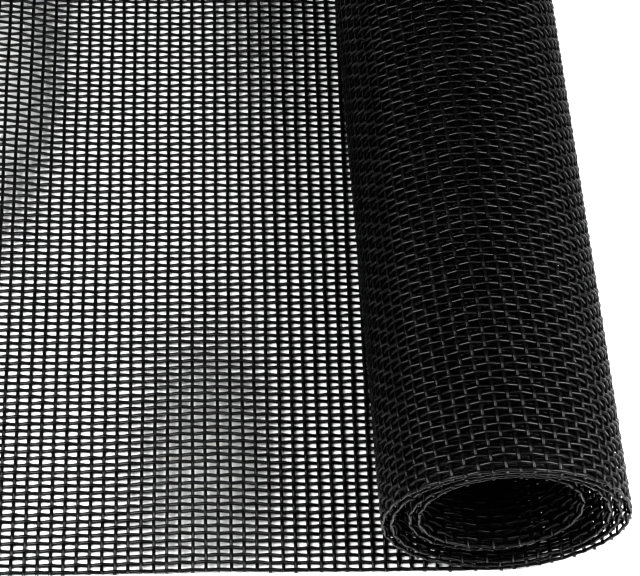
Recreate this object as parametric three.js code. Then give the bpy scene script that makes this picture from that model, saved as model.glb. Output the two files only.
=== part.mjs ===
// A short length of insect screen, most of it wound into a loose roll and the rest lying flat.
// Millimetres, +Z up. The roll lies along Y, its front end at the lowest Y, and the loose end runs out to -X.

import * as THREE from 'three';

// The cloth
const clothThickness = 1.2;
const clothWidth = 150;
const clothColour = 0x0b0b0c;

// The roll: its diameter at the front end, the share by which it is slimmer at the back end,
// and how far it drifts towards -X for each millimetre of its length
const rollDiameter = 48;
const rollTaper = 0.022;
const rollDrift = 0.04;

// The loose end, from its cut edge to the line where the roll leaves the ground
const looseLength = 111;

// How finely the cloth is divided
const stepsPerTurn = 32;
const looseSteps = 18;
const widthSteps = 8;

// The winding, from the line where the cloth leaves the ground to its inner end. A turn runs up the right side,
// over the top and down the left side. Inset is how far the cloth lies inside the outermost layer, and setback
// is how far its front edge lies behind the front of the loose end.
const winding = [
  { turn: 0, inset: 0.0, setback: 0.0 },
  { turn: 0.12, inset: 0.7, setback: 0.0 },
  { turn: 0.25, inset: 0.2, setback: 0.1 },
  { turn: 0.5, inset: 0.0, setback: 0.1 },
  { turn: 0.75, inset: 0.0, setback: 0.1 },
  { turn: 1, inset: 1.6, setback: 0.0 },
  { turn: 1.12, inset: 2.3, setback: 0.1 },
  { turn: 1.25, inset: 2.0, setback: 0.2 },
  { turn: 1.5, inset: 1.6, setback: 0.3 },
  { turn: 1.75, inset: 1.7, setback: 0.2 },
  { turn: 2, inset: 3.2, setback: 0.1 },
  { turn: 2.12, inset: 3.9, setback: 0.2 },
  { turn: 2.25, inset: 3.9, setback: 0.4 },
  { turn: 2.5, inset: 3.2, setback: 0.6 },
  { turn: 2.75, inset: 5.0, setback: 0.4 },
  { turn: 3, inset: 8.8, setback: 0.6 },
  { turn: 3.12, inset: 9.7, setback: 1.2 },
  { turn: 3.25, inset: 9.2, setback: 1.6 },
  { turn: 3.5, inset: 5.2, setback: 1.2 },
  { turn: 3.75, inset: 6.8, setback: 0.5 },
  { turn: 4, inset: 10.8, setback: 0.2 },
  { turn: 4.125, inset: 11.7, setback: 0.2 },
];

// Low humps in the loose end: the middle of each, its height and how far it reaches
const humps = [
  { x: -58, y: 26, height: 1.7, reachX: 13, reachY: 38 },
  { x: -105, y: 122, height: 2.8, reachX: 14, reachY: 38 },
  { x: -44, y: 142, height: 0.9, reachX: 18, reachY: 36 },
];
// The loose end lies flat on the ground up to here, and its humps have their full height from here on
const flatUntil = -27;
const humpsFrom = -48;

const outerRadius = (rollDiameter - clothThickness) / 2;
const lastTurn = winding[winding.length - 1].turn;
const turnSteps = Math.round(lastTurn * stepsPerTurn);
const lengthSteps = looseSteps + turnSteps;

// The winding's columns as smooth curves over the turns
function windingCurve(column) {
  const turns = winding.map((row) => row.turn);
  const values = winding.map((row) => row[column]);
  const curve = new THREE.CubicInterpolant(turns, values, 1);
  return (turn) => curve.evaluate(turn)[0];
}
const insetAt = windingCurve('inset');
const setbackAt = windingCurve('setback');

// Height of the loose end's underside above the ground
function humpHeight(x, y) {
  const rise = 1 - THREE.MathUtils.smoothstep(x, humpsFrom, flatUntil);
  const heights = humps.map((hump) => {
    const across = (x - hump.x) / hump.reachX;
    const along = (y - hump.y) / hump.reachY;
    return hump.height * Math.exp(-across * across - along * along);
  });
  return rise * heights.reduce((sum, height) => sum + height, 0);
}

// A point of the loose end: up is 0 on its underside and 1 on its upper face
function loosePoint(share, y, up) {
  const x = -looseLength * (1 - share);
  const drift = rollDrift * y * THREE.MathUtils.smoothstep(x, -looseLength, flatUntil);
  return [x - drift, y, humpHeight(x, y) + up * clothThickness];
}

// A point of the roll: up is 0 on the cloth's outer face and 1 on its inner face
function rollPoint(turn, y, up) {
  const size = 1 - (rollTaper * y) / clothWidth;
  const axisHeight = outerRadius * size + clothThickness / 2;
  const radius = (outerRadius - insetAt(turn)) * size + (0.5 - up) * clothThickness;
  const angle = 2 * Math.PI * (turn - 0.25);
  const x = radius * Math.cos(angle) - rollDrift * y;
  return [x, y + setbackAt(turn), axisHeight + radius * Math.sin(angle)];
}

// The cloth is one strip, divided along and across, and each of its points is then laid or wound in place
function screenGeometry() {
  const strip = new THREE.BoxGeometry(1, 1, 1, lengthSteps, widthSteps, 1);
  const points = strip.attributes.position;
  for (let i = 0; i < points.count; i += 1) {
    const step = Math.round((points.getX(i) + 0.5) * lengthSteps);
    const y = (Math.round((points.getY(i) + 0.5) * widthSteps) / widthSteps) * clothWidth;
    const up = Math.round(points.getZ(i) + 0.5);
    const place = step <= looseSteps
      ? loosePoint(step / looseSteps, y, up)
      : rollPoint(((step - looseSteps) / turnSteps) * lastTurn, y, up);
    points.setXYZ(i, ...place);
  }
  strip.computeVertexNormals();
  return strip;
}

const screenMaterial = new THREE.MeshStandardMaterial({
  color: clothColour,
  roughness: 0.45,
  metalness: 0,
});

const screen = new THREE.Mesh(screenGeometry(), screenMaterial);
screen.name = 'screen';

// The origin is under the middle of the whole
const object = new THREE.Group();
object.add(screen);
const box = new THREE.Box3().setFromObject(object);
const middle = box.getCenter(new THREE.Vector3());
screen.position.set(-middle.x, -middle.y, 0);

export default object;
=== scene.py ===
"""A loose roll of black insect screen with its end lying flat beside it, woven thread by thread."""
import math

import bpy
import numpy as np
from mathutils import Matrix, Vector


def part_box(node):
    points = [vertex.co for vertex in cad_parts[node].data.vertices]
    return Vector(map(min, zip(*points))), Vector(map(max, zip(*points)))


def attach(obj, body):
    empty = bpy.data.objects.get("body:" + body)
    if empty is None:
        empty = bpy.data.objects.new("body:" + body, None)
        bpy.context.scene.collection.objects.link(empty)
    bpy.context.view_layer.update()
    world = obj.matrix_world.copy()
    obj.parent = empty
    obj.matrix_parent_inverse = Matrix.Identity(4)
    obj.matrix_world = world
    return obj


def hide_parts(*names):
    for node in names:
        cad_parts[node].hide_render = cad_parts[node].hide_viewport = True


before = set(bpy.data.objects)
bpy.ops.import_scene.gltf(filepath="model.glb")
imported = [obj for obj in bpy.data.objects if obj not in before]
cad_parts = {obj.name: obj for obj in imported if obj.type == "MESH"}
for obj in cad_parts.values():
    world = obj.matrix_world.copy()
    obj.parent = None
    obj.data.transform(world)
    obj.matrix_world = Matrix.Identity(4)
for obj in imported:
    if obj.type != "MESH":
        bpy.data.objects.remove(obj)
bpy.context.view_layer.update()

MM = 0.001
SEED = 7

# The cloth, in millimetres: u runs along it, from the line where the roll leaves the ground towards
# its inner end, and v runs across it, from its front edge
CLOTH_WIDTH = 150.0
CLOTH_THICKNESS = 1.2
LOOSE_LENGTH = 111.0
# Height of the middle of its thickness where it lies on the ground
LIES_AT = 0.54

# The roll. Towards the back it gets thinner, by this share in all, and drifts towards -X, at this slope.
ROLL_DIAMETER = 48.0
ROLL_TAPER = 0.022
ROLL_DRIFT = 0.04

# The winding: turn, inset from the outermost layer, setback of the front edge
WINDING = np.array([
    (0.0, 0.0, 0.0),
    (0.12, 0.7, 0.0),
    (0.25, 0.2, 0.1),
    (0.5, 0.0, 0.1),
    (0.75, 0.0, 0.1),
    (1.0, 1.6, 0.0),
    (1.12, 2.3, 0.1),
    (1.25, 2.0, 0.2),
    (1.5, 1.6, 0.3),
    (1.75, 1.7, 0.2),
    (2.0, 3.2, 0.1),
    (2.12, 3.9, 0.2),
    (2.25, 3.9, 0.4),
    (2.5, 3.2, 0.6),
    (2.75, 5.0, 0.4),
    (3.0, 8.8, 0.6),
    (3.12, 9.7, 1.2),
    (3.25, 9.2, 1.6),
    (3.5, 5.2, 1.2),
    (3.75, 6.8, 0.5),
    (4.0, 10.8, 0.2),
    (4.125, 11.7, 0.2),
])
WINDING_STEPS = 4000
# The threads across the cloth lean with the outer turns, and stand straight again in the inner ones
LEAN_UNTIL = 150.0
STRAIGHT_FROM = 400.0

# Low humps in the loose end: x, y, height, reach in x, reach in y
HUMPS = [
    (-57.0, 22.0, 1.3, 14.0, 30.0),
    (-102.0, 122.0, 2.7, 11.0, 38.0),
    (-36.0, 142.0, 0.75, 15.0, 36.0),
]
# Going out from the roll, the loose end is flat up to the first u and has its full humps from the second
FLAT_UNTIL = -27.0
HUMPS_FROM = -48.0

# The weave: warp threads run along the cloth and weft threads across it, each over and under the other
# in turn. Sizes are across and upright. Crimp is how far a thread swings up and down, and bend is how far
# from a crossing it curves, as a share of the way to the next one.
WARP_PITCH = 1.5385
WARP_FIRST = 0.35
WARP_COUNT = 98
WARP_SIZE = (0.76, 0.5)
WARP_CRIMP = 0.25
WARP_BEND = 0.13
WEFT_PITCH = 2.54
WEFT_FIRST = -109.94
WEFT_SIZE = (0.78, 0.5)
WEFT_CRIMP = 0.09
WEFT_BEND = 0.22
# The outermost warp threads lie straighter, by this share, and the weft ends bend round them instead
EDGE_STRAIGHTER = 0.45
# How far the cut ends stick out past the last crossing, and how much that varies
WARP_STUB = 0.8
WARP_STUB_VARIES = (-0.3, 0.3)
WEFT_STUB = 0.4
WEFT_STUB_VARIES = (-0.12, 0.18)
# Threads stray to the side in waves of these lengths, by this much
WOBBLE_WAVES = np.array([7.0, 19.0, 53.0])
WOBBLE = np.array([0.015, 0.03, 0.05])
# Steps along a thread and upwards from it that give its direction
STEP_ALONG = 0.05
STEP_UP = 0.1

# The threads' map: how long a strip is, its margin, and where its ends lie beside it and how big they are.
# The margin and that size are shares of a strip's width.
STRIP_LENGTH = 0.96
STRIP_MARGIN = 0.08
STRIP_ENDS = (0.972, 0.988)
STRIP_END_RADIUS = 0.3

# Lengths of cloth that are pieces of their own: name, turn they end at, or None for the middle of the
# loose end, sides of a warp thread and its rings at each crossing, and the same for a weft thread
LENGTHS = [
    ("loose_end_left", None, 6, 2, 6, 2),
    ("loose_end_right", 0.0, 6, 2, 6, 2),
    ("first_turn_right", 0.5, 8, 2, 6, 2),
    ("first_turn_left", 1.0, 8, 2, 6, 2),
    ("second_turn", 2.0, 4, 2, 4, 1),
    ("third_turn", 3.0, 4, 1, 4, 1),
    ("inner_turn", WINDING[-1, 0], 6, 2, 6, 1),
]

# Thread, almost black and satin: name, darkest and palest colour, least and most roughness
COATED_THREAD = ("coated_thread", (0.003, 0.003, 0.0032, 1), (0.01, 0.01, 0.0104, 1), 0.26, 0.34)
CUT_THREAD = ("cut_thread", (0.04, 0.04, 0.042, 1), (0.12, 0.12, 0.125, 1), 0.45, 0.6)
COAT_IOR = 1.42
# Its coat is uneven in patches and has a finer grain, both counted to the metre
PATCH_SCALE = 250
PATCH_DETAIL = 3
PATCH_DARK = 0.3
PATCH_PALE = 0.7
GRAIN_SCALE = 1800
GRAIN_DEPTH = 0.02
GRAIN_STRENGTH = 0.1

# Floor, in metres, just below the ground
FLOOR_SIZE = 6.0
FLOOR_HEIGHT = -0.00005
FLOOR_COLOUR = (0.8, 0.8, 0.8, 1)
FLOOR_ROUGHNESS = 0.9

# Light, in metres and degrees: softboxes along the roll, at one distance from its axis: name, angle from
# upright towards +X, where they start and end along Y, how wide they look, and how bright their face is
LIGHT_DISTANCE = 0.35
SOFTBOXES = [
    ("left", -46.0, -0.21, 0.015, 34.0, 10.2),
    ("right", 44.0, -0.21, 0.015, 42.0, 11.2),
    ("top", 12.0, -0.16, 0.05, 49.0, 1.9),
]
# Panels in a ring light the floor further out, straight down, and miss the roll
PANEL_COUNT = 8
PANEL_RING = 1.5
PANEL_HEIGHT = 1.2
PANEL_SIZE = 1.0
PANEL_SPREAD = 70.0
PANEL_POWER = 12.0
ROOM_COLOUR = (0.9, 0.9, 0.9, 1)
ROOM_BRIGHTNESS = 0.02

# Camera, in millimetres from the front of the line where the roll leaves the ground
CAMERA_PLACE = np.array([-57.24, -157.27, 395.80])
CAMERA_AIM = np.array([-32.14, 64.27, 0.0])
CAMERA_ROLL = 5.405
CAMERA_LENS = 120.67
CAMERA_SENSOR = 36

rng = np.random.default_rng(SEED)

# The origin follows from the part's box: its left side is the loose end's cut edge, and its front side
# the cloth's front edge
low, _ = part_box("screen")
ORIGIN = np.array([low[0] / MM + LOOSE_LENGTH, low[1] / MM, 0.0])


def smoothstep(x, start, end):
    t = np.clip((x - start) / (end - start), 0, 1)
    return t * t * (3 - 2 * t)


def curve_through(xs, ys, x):
    """Smooth curve through points, each with the slope that its neighbours give it."""
    slopes = np.gradient(ys, xs)
    i = np.clip(np.searchsorted(xs, x) - 1, 0, len(xs) - 2)
    step = xs[i + 1] - xs[i]
    t = (x - xs[i]) / step
    rise = smoothstep(t, 0, 1)
    start_bend = t * (1 - t) ** 2 * step * slopes[i]
    end_bend = t * t * (1 - t) * step * slopes[i + 1]
    return ys[i] * (1 - rise) + ys[i + 1] * rise + start_bend - end_bend


def angle_at(turn):
    """Angle from +X towards +Z. The winding starts at the bottom of the roll."""
    return 2 * np.pi * (turn - 0.25)


# The winding's section at the front edge, by length along it
OUTER_RADIUS = (ROLL_DIAMETER - CLOTH_THICKNESS) / 2
turns = np.linspace(0, WINDING[-1, 0], WINDING_STEPS + 1)
insets = curve_through(WINDING[:, 0], WINDING[:, 1], turns)
setbacks = curve_through(WINDING[:, 0], WINDING[:, 2], turns)
section = np.stack([
    (OUTER_RADIUS - insets) * np.cos(angle_at(turns)),
    (OUTER_RADIUS - insets) * np.sin(angle_at(turns)),
])
lengths = np.concatenate([[0], np.cumsum(np.linalg.norm(np.diff(section), axis=0))])
WOUND_LENGTH = lengths[-1]


def place(u, v, lift):
    """Points of the cloth. Lift is from the middle of its thickness, up or into the roll."""
    leaning = 1 - smoothstep(u, LEAN_UNTIL, STRAIGHT_FROM)
    size = 1 - ROLL_TAPER * v / CLOTH_WIDTH
    wound = (u + ROLL_DRIFT * v * leaning) * (1 + (1 / size - 1) * leaning)

    hump = sum(
        height * np.exp(-(((u - x) / reach_x) ** 2) - ((v - y) / reach_y) ** 2)
        for x, y, height, reach_x, reach_y in HUMPS
    )
    hump = hump * (1 - smoothstep(u, HUMPS_FROM, FLAT_UNTIL))
    loose = np.stack([u, v, LIES_AT + hump + lift], axis=-1)

    turn = np.interp(wound, lengths, turns)
    radius = (OUTER_RADIUS - np.interp(turn, turns, insets)) * size - lift
    angle = angle_at(turn)
    rolled = np.stack([
        radius * np.cos(angle) - ROLL_DRIFT * v,
        v + np.interp(turn, turns, setbacks),
        OUTER_RADIUS * size + LIES_AT + radius * np.sin(angle),
    ], axis=-1)
    return ORIGIN + np.where((wound > 0)[..., None], rolled, loose)


# Threads
WEFT_COUNT = int((WOUND_LENGTH - WARP_STUB - WEFT_FIRST) / WEFT_PITCH) + 1
WEFT_LAST = WEFT_FIRST + WEFT_PITCH * (WEFT_COUNT - 1)
WARP_LAST = WARP_FIRST + WARP_PITCH * (WARP_COUNT - 1)
warp_phases = rng.uniform(0, 2 * np.pi, (len(WOBBLE), WARP_COUNT, 1))
weft_phases = rng.uniform(0, 2 * np.pi, (len(WOBBLE), WEFT_COUNT, 1))
warp_ends = WARP_STUB + rng.uniform(*WARP_STUB_VARIES, (2, WARP_COUNT))
weft_ends = WEFT_STUB + rng.uniform(*WEFT_STUB_VARIES, (2, WEFT_COUNT))


def wobble(x, phases):
    """How far threads stray to the side at x."""
    waves = zip(WOBBLE, WOBBLE_WAVES, phases)
    return sum(size * np.sin(2 * np.pi * x / length + phase) for size, length, phase in waves)


def crimp_wave(x, bend):
    """1 at even x and -1 at odd x, with straight runs between bends that reach this far either side."""
    apart = np.abs((x + 1) % 2 - 1)
    over = np.maximum(bend - apart, 0) ** 2 / (2 * bend)
    under = np.maximum(apart - 1 + bend, 0) ** 2 / (2 * bend)
    return 2 / (1 - bend) * (0.5 - apart - over + under)


def at_edge(v):
    """1 on the outermost warp threads, falling to 0 at their neighbours."""
    inwards = np.minimum(v - WARP_FIRST, WARP_LAST - v) / WARP_PITCH
    return np.clip(1 - inwards, 0, 1)


def warp_path(u, lift=0.0):
    """Points of every warp thread at u, an array of (threads, points)."""
    thread = np.arange(WARP_COUNT)[:, None]
    v = WARP_FIRST + WARP_PITCH * thread
    side = np.where(thread % 2, -1, 1)
    height = WARP_CRIMP * (1 - EDGE_STRAIGHTER * at_edge(v))
    crimp = height * side * crimp_wave((u - WEFT_FIRST) / WEFT_PITCH, WARP_BEND)
    return place(u, v + wobble(u, warp_phases), crimp + lift)


def weft_path(v, threads, lift=0.0):
    """Points of the numbered weft threads at v, an array of (threads, points)."""
    thread = threads[:, None]
    u = WEFT_FIRST + WEFT_PITCH * thread + wobble(v, weft_phases[:, threads])
    side = np.where(thread % 2, 1, -1)
    height = WEFT_CRIMP + WARP_CRIMP * EDGE_STRAIGHTER * at_edge(v)
    crimp = height * side * crimp_wave((v - WARP_FIRST) / WARP_PITCH, WEFT_BEND)
    return place(u, v, crimp + lift)


def tubes(path, at, size, sides):
    """Closed tubes round the paths at the given points: corners, their normals, walls and end faces."""
    threads, points = at.shape
    along = path(at + STEP_ALONG) - path(at - STEP_ALONG)
    along /= np.linalg.norm(along, axis=-1, keepdims=True)
    across = np.cross(along, path(at, STEP_UP) - path(at, -STEP_UP))
    across /= np.linalg.norm(across, axis=-1, keepdims=True)
    upright = np.cross(across, along)

    angle = 2 * np.pi * (np.arange(sides) + 0.5) / sides
    sideways = np.cos(angle)[:, None] * across[:, :, None]
    upwards = np.sin(angle)[:, None] * upright[:, :, None]
    corners = path(at)[:, :, None] + 0.5 * (size[0] * sideways + size[1] * upwards)
    normals = sideways + upwards

    index = np.arange(corners.size // 3).reshape(threads, points, sides)
    following = np.roll(index, -1, axis=2)
    walls = np.stack([index[:, :-1], index[:, 1:], following[:, 1:], following[:, :-1]], axis=-1)
    ends = np.stack([index[:, 0], index[:, -1, ::-1]], axis=1)
    return corners, normals, walls, ends


def unrolled(walls, ends, first_strip, strips):
    """Places in the map for the faces' corners: a strip for each thread, with its two ends beside it."""
    threads, steps, sides, _ = walls.shape
    strip = first_strip + np.arange(threads)
    along = np.arange(steps)[:, None] + np.array([0, 1, 1, 0])
    around = np.arange(sides)[:, None] + np.array([0.0, 0.0, 1.0, 1.0])
    across = STRIP_MARGIN + (1 - 2 * STRIP_MARGIN) * around / sides
    wall_map = np.empty(walls.shape + (2,))
    wall_map[..., 0] = STRIP_LENGTH * along[None, :, None] / steps
    wall_map[..., 1] = (strip[:, None, None, None] + across) / strips

    angle = 2 * np.pi * np.arange(sides) / sides
    end_map = np.empty(ends.shape + (2,))
    end_map[..., 0] = np.array(STRIP_ENDS)[:, None] + STRIP_END_RADIUS / strips * np.cos(angle)
    end_map[..., 1] = (strip[:, None, None] + 0.5 + STRIP_END_RADIUS * np.sin(angle)) / strips
    return wall_map.reshape(-1, 2), end_map.reshape(-1, 2)


def thread_mesh(name, parts):
    """One piece from several sets of tubes. Its materials are for their walls and for their ends."""
    corners, normals, faces, places, kinds = [], [], [], [], []
    strips = sum(len(part[0]) for part in parts)
    strip = start = 0
    for part_corners, part_normals, walls, ends in parts:
        sides = ends.shape[-1]
        corners.append(part_corners.reshape(-1, 3))
        normals.append(part_normals.reshape(-1, 3))
        faces += (walls + start).reshape(-1, 4).tolist() + (ends + start).reshape(-1, sides).tolist()
        places += unrolled(walls, ends, strip, strips)
        kinds += [0] * (walls.size // 4) + [1] * (ends.size // sides)
        strip += len(part_corners)
        start += part_corners.size // 3
    mesh = bpy.data.meshes.new(name)
    mesh.from_pydata(np.concatenate(corners) * MM, [], faces)
    mesh.polygons.foreach_set("material_index", kinds)
    mesh.uv_layers.new(name="OFBake").data.foreach_set("uv", np.concatenate(places).ravel())
    mesh.shade_smooth()
    mesh.normals_split_custom_set_from_vertices(np.concatenate(normals))
    mesh.update()
    piece = bpy.data.objects.new(name, mesh)
    bpy.context.collection.objects.link(piece)
    return piece


def rings(first, last, count, bend):
    """Where a thread has its rings: one at each crossing, or one at either end of the bend there."""
    crossings = np.arange(first, last)[:, None]
    return (crossings + (np.array([-bend, bend]) if count == 2 else 0.0)).ravel()


def woven_length(name, first, last, warp_sides, warp_rings, weft_sides, weft_rings):
    """The cloth from weft thread first up to, but not with, weft thread last."""
    at = np.concatenate([[first - 0.5], rings(first, last, warp_rings, WARP_BEND), [last - 0.5]])
    u = np.tile(WEFT_FIRST + WEFT_PITCH * at, (WARP_COUNT, 1))
    if first == 0:
        u[:, 0] = WEFT_FIRST - warp_ends[0]
    if last == WEFT_COUNT:
        u[:, -1] = WEFT_LAST + warp_ends[1]
    warp = tubes(warp_path, u, WARP_SIZE, warp_sides)

    threads = np.arange(first, last)
    at = rings(0, WARP_COUNT, weft_rings, WEFT_BEND)[1:-1]
    v = np.tile(WARP_FIRST + WARP_PITCH * at, (len(threads), 1))
    v = np.column_stack([WARP_FIRST - weft_ends[0, threads], v, WARP_LAST + weft_ends[1, threads]])
    weft = tubes(lambda at, lift=0.0: weft_path(at, threads, lift), v, WEFT_SIZE, weft_sides)
    return thread_mesh(name, [warp, weft])


def thread_material(name, darkest, palest, gloss_from, gloss_to):
    """Coated thread in patches of slightly different colour and gloss, with a fine grain."""
    material = bpy.data.materials.new(name)
    material.use_nodes = True
    nodes = material.node_tree.nodes
    links = material.node_tree.links
    shader = nodes["Principled BSDF"]
    shader.inputs["IOR"].default_value = COAT_IOR
    where = nodes.new("ShaderNodeTexCoord")
    patches = nodes.new("ShaderNodeTexNoise")
    patches.inputs["Scale"].default_value = PATCH_SCALE
    patches.inputs["Detail"].default_value = PATCH_DETAIL
    links.new(where.outputs["Object"], patches.inputs["Vector"])

    colours = nodes.new("ShaderNodeValToRGB")
    colours.color_ramp.elements[0].position = PATCH_DARK
    colours.color_ramp.elements[0].color = darkest
    colours.color_ramp.elements[1].position = PATCH_PALE
    colours.color_ramp.elements[1].color = palest
    links.new(patches.outputs["Fac"], colours.inputs["Fac"])
    links.new(colours.outputs["Color"], shader.inputs["Base Color"])

    gloss = nodes.new("ShaderNodeMapRange")
    gloss.inputs["To Min"].default_value = gloss_from
    gloss.inputs["To Max"].default_value = gloss_to
    links.new(patches.outputs["Fac"], gloss.inputs["Value"])
    links.new(gloss.outputs["Result"], shader.inputs["Roughness"])

    grain = nodes.new("ShaderNodeTexNoise")
    grain.inputs["Scale"].default_value = GRAIN_SCALE
    links.new(where.outputs["Object"], grain.inputs["Vector"])
    relief = nodes.new("ShaderNodeBump")
    relief.inputs["Strength"].default_value = GRAIN_STRENGTH
    relief.inputs["Distance"].default_value = GRAIN_DEPTH * MM
    links.new(grain.outputs["Fac"], relief.inputs["Height"])
    links.new(relief.outputs["Normal"], shader.inputs["Normal"])
    return material


def length_end(end_turn):
    """The number of the weft thread that the next length of cloth starts with."""
    if end_turn is None:
        return math.ceil(-WEFT_FIRST / WEFT_PITCH) // 2
    if end_turn == WINDING[-1, 0]:
        return WEFT_COUNT
    return math.ceil((np.interp(end_turn, turns, lengths) - WEFT_FIRST) / WEFT_PITCH)


# The cloth
coated = thread_material(*COATED_THREAD)
cut = thread_material(*CUT_THREAD)
first = 0
for name, end_turn, *fineness in LENGTHS:
    last = length_end(end_turn)
    piece = woven_length(name, first, last, *fineness)
    piece.data.materials.append(coated)
    piece.data.materials.append(cut)
    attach(piece, "root")
    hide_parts("screen")
    first = last

# Floor
bpy.ops.mesh.primitive_plane_add(size=FLOOR_SIZE, location=(0, 0, FLOOR_HEIGHT))
floor = bpy.context.object
floor.name = "floor"
pale = bpy.data.materials.new("pale_floor")
pale.use_nodes = True
pale.node_tree.nodes["Principled BSDF"].inputs["Base Color"].default_value = FLOOR_COLOUR
pale.node_tree.nodes["Principled BSDF"].inputs["Roughness"].default_value = FLOOR_ROUGHNESS
floor.data.materials.append(pale)


def area_light(name, wide, long, power, centre, angle=0.0, spread=180.0):
    """A rectangle that shines down, or to one side if it is turned about Y."""
    light = bpy.data.lights.new(name, "AREA")
    light.shape = "RECTANGLE"
    light.size = wide
    light.size_y = long
    light.spread = math.radians(spread)
    light.energy = power
    lamp = bpy.data.objects.new(name, light)
    lamp.location = centre
    lamp.rotation_euler = (0, angle, 0)
    bpy.context.collection.objects.link(lamp)


# Light
for name, degrees, start, end, degrees_wide, brightness in SOFTBOXES:
    angle = math.radians(degrees)
    wide = 2 * LIGHT_DISTANCE * math.tan(math.radians(degrees_wide) / 2)
    long = end - start
    centre = (
        ORIGIN[0] * MM + LIGHT_DISTANCE * math.sin(angle),
        (start + end) / 2,
        OUTER_RADIUS * MM + LIGHT_DISTANCE * math.cos(angle),
    )
    area_light(name, wide, long, math.pi * wide * long * brightness, centre, angle)

for i in range(PANEL_COUNT):
    turn = 2 * math.pi * i / PANEL_COUNT
    centre = (PANEL_RING * math.cos(turn), PANEL_RING * math.sin(turn), PANEL_HEIGHT)
    area_light("floor_panel", PANEL_SIZE, PANEL_SIZE, PANEL_POWER, centre, spread=PANEL_SPREAD)

world = bpy.data.worlds.new("studio")
world.use_nodes = True
world.node_tree.nodes["Background"].inputs["Color"].default_value = ROOM_COLOUR
world.node_tree.nodes["Background"].inputs["Strength"].default_value = ROOM_BRIGHTNESS
bpy.context.scene.world = world
bpy.context.scene.view_settings.view_transform = "Standard"
bpy.context.scene.view_settings.look = "Very High Contrast"

# Camera
camera = bpy.data.objects.new("camera", bpy.data.cameras.new("camera"))
camera.data.sensor_width = CAMERA_SENSOR
camera.data.lens = CAMERA_LENS
look = Vector(CAMERA_AIM - CAMERA_PLACE)
turned = look.to_track_quat("-Z", "Y").to_matrix() @ Matrix.Rotation(math.radians(CAMERA_ROLL), 3, "Z")
camera.matrix_world = Matrix.Translation(Vector((CAMERA_PLACE + ORIGIN) * MM)) @ turned.to_4x4()
bpy.context.collection.objects.link(camera)
bpy.context.scene.camera = camera
